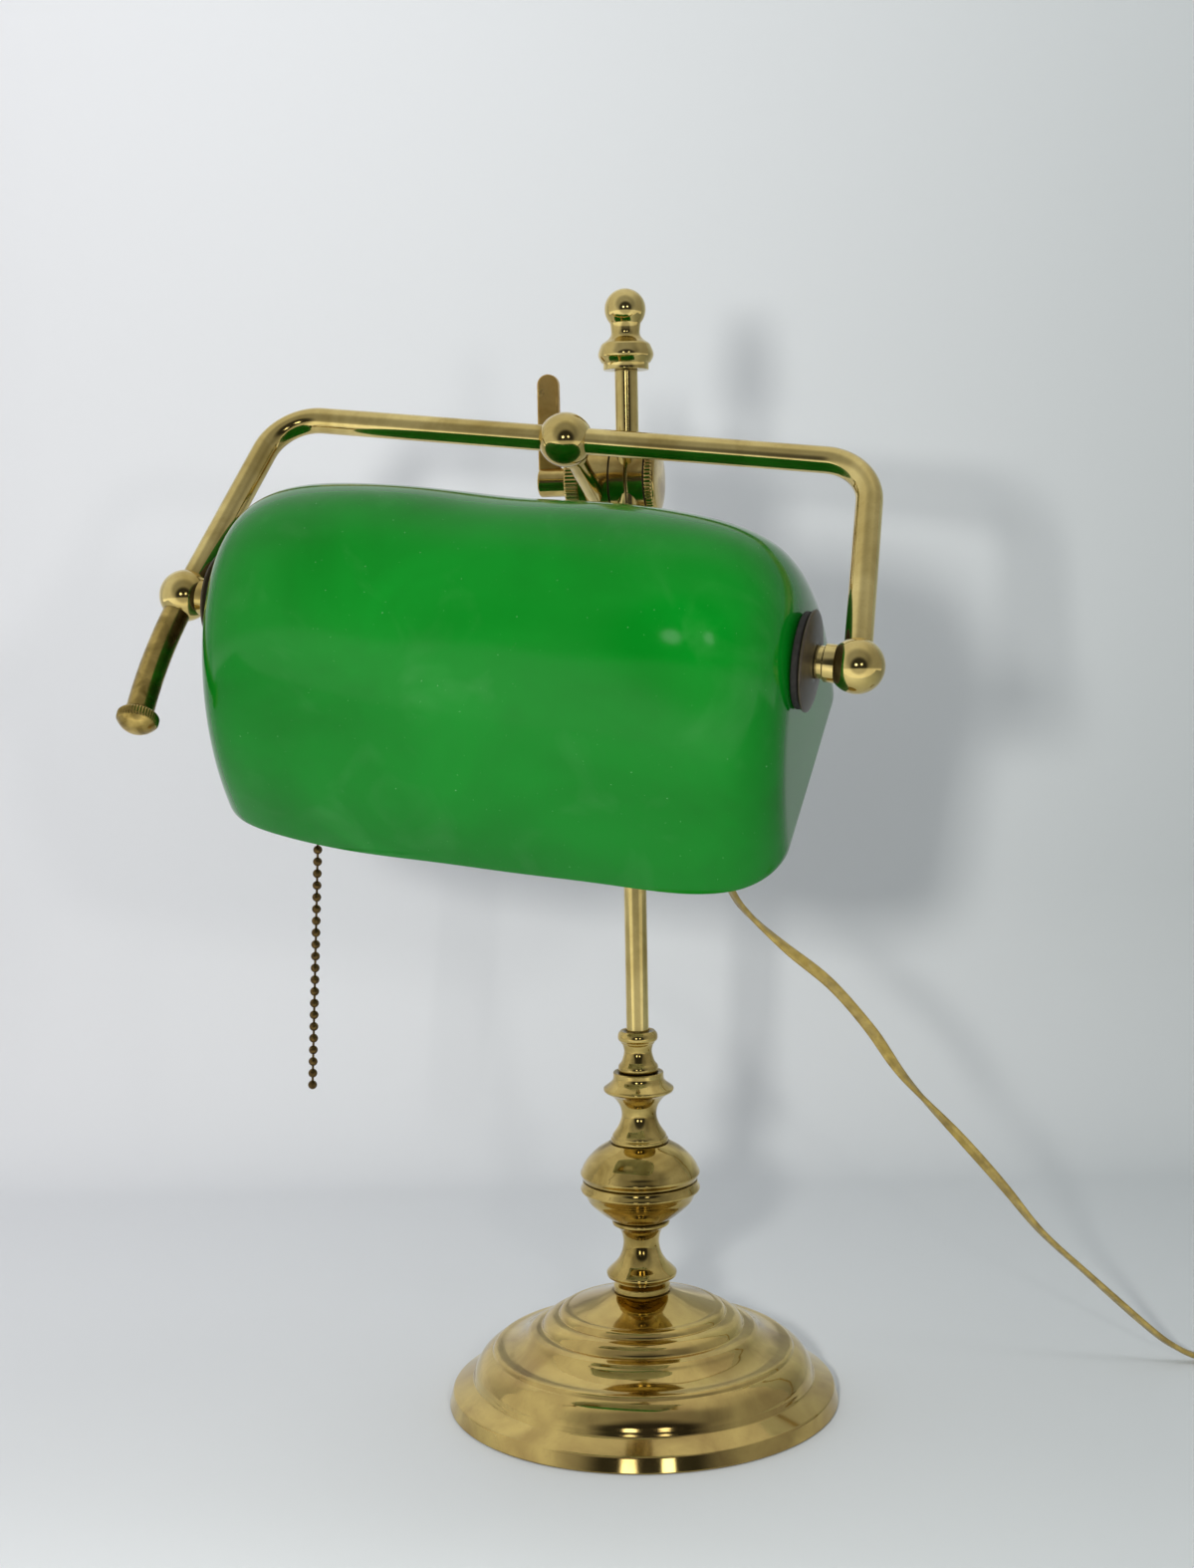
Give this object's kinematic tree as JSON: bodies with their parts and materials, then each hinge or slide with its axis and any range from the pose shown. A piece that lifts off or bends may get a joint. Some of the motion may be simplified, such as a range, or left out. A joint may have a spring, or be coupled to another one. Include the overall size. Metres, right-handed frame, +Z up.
{
  "type": "table lamp",
  "caption": "Brass desk lamp with a round stepped foot, a turned column, a sliding lever clamp on an upright rod, and a green glass shade hung between the ends of a bow.",
  "frame": {"origin": "centre of the foot's underside, on the upright rod's axis, on the table", "axes": "+Z up along the rod; +X along the clamp bolt and the bow, to the right seen from the front; -Y to the front, where the shade hangs"},
  "size_m": [0.5183, 0.3629, 0.4645],
  "materials": {
    "aged_brass": "spun and lacquered, mottled with age",
    "turned_brass": "turned, lightly tarnished in the grooves",
    "polished_brass": "polished",
    "clamp_brass": "turned and knurled",
    "brushed_brass": "brushed along its length",
    "cast_weight": "as cast",
    "cork": "pressed cork",
    "zinc_steel": "zinc plated",
    "dark_fibre": "pressed fibre",
    "brown_enamel": "dull brown enamel",
    "black_rubber": "matte",
    "cased_green_glass": "green glass cased on opal white, glossy",
    "porcelain": "glazed",
    "lamp_cap": "bright",
    "opal_glass": "satin opal",
    "dark_bronze": "dark bronzed",
    "gold_cord": "satin gold brown",
    "black_tie": "matte",
    "brown_plastic": "moulded, satin",
    "plug_brass": "bright"
  },
  "bodies": {
    "base": {"base_shell": "aged_brass", "base_weight": "cast_weight", "base_pad": "cork", "base_washer": "zinc_steel", "base_nut": "zinc_steel", "tie_rod": "zinc_steel", "base_neck_ring": "turned_brass", "lower_baluster": "turned_brass", "bowl_lower": "turned_brass", "bowl_upper": "turned_brass", "upper_baluster": "turned_brass", "rod_collar": "turned_brass"},
    "upright": {"upright_rod": "polished_brass", "finial": "polished_brass", "cord_free": "gold_cord", "cord_coil": "gold_cord", "cord_tie": "black_tie", "plug_body": "brown_plastic", "plug_pins": "plug_brass"},
    "clamp": {"clamp_collar": "clamp_brass", "clamp_bolt": "clamp_brass", "clamp_washer_left": "dark_fibre", "clamp_washer_right": "dark_fibre", "cord_bushing": "black_rubber", "strain_relief": "brown_plastic"},
    "nut": {"knurled_nut": "clamp_brass", "end_cap": "clamp_brass"},
    "lever": {"lever_nut": "clamp_brass", "clamp_lever": "brushed_brass"},
    "arm": {"arm_drum": "clamp_brass", "arm_tube": "polished_brass", "arm_ring": "polished_brass"},
    "bow": {"centre_ball": "polished_brass", "bow_left": "polished_brass", "bow_right": "polished_brass", "left_end_ball": "polished_brass", "right_end_ball": "polished_brass", "handle_tube": "aged_brass", "handle_cap": "aged_brass", "left_pin": "polished_brass", "right_pin": "polished_brass", "left_washer": "brown_enamel", "right_washer": "brown_enamel", "left_neck_ring": "polished_brass", "right_neck_ring": "polished_brass", "left_inner_washer": "zinc_steel", "right_inner_washer": "zinc_steel", "right_inner_nut": "zinc_steel", "lamp_socket": "clamp_brass", "socket_insulator": "porcelain", "chain_guide": "clamp_brass", "bulb_cap": "lamp_cap", "bulb_glass": "opal_glass"},
    "shade": {"shade_glass": "cased_green_glass", "left_gasket": "black_rubber", "right_gasket": "black_rubber"},
    "pull_stem": {"pull_stem": "dark_bronze"},
    "chain": {"pull_chain": "dark_bronze"}
  },
  "joints": [
    {"name": "rod_turn", "type": "hinge", "parent": "base", "child": "upright", "pos_m": [0, 0, 0.15], "axis": [0, 0, 1], "range_deg": [-170, 170]},
    {"name": "clamp_height", "type": "slide", "parent": "upright", "child": "clamp", "axis": [0, 0, 1], "range_m": [-0.13, 0.025], "deforming": ["cord_free"]},
    {"name": "nut_turn", "type": "hinge", "parent": "clamp", "child": "nut", "pos_m": [0, 0.0076, 0.3875], "axis": [1, 0, 0], "range_deg": [-180, 180]},
    {"name": "lever_turn", "type": "hinge", "parent": "clamp", "child": "lever", "pos_m": [0, 0.0076, 0.3875], "axis": [1, 0, 0], "range_deg": [-90, 30]},
    {"name": "arm_tilt", "type": "hinge", "parent": "clamp", "child": "arm", "pos_m": [0, 0.0076, 0.3875], "axis": [1, 0, 0], "range_deg": [-40, 5]},
    {"name": "bow_swivel", "type": "hinge", "parent": "arm", "child": "bow", "pos_m": [-0.0137, -0.05068, 0.40123], "axis": [0, -0.9278, 0.373], "range_deg": [-30, 12]},
    {"name": "shade_tilt", "type": "hinge", "parent": "bow", "child": "shade", "pos_m": [-0.02561, -0.1017, 0.32944], "axis": [0.991, -0.0776, -0.1092], "range_deg": [-70, 2]},
    {"name": "pull_switch", "type": "slide", "parent": "bow", "child": "pull_stem", "axis": [-0.1092, 0.0043, -0.994], "range_m": [0, 0.006], "stiffness_N_per_m": 300},
    {"name": "chain_swing", "type": "hinge", "parent": "pull_stem", "child": "chain", "pos_m": [-0.10002, -0.096, 0.30947], "axis": [1, 0, 0], "range_deg": [-3, 60]}
  ]
}
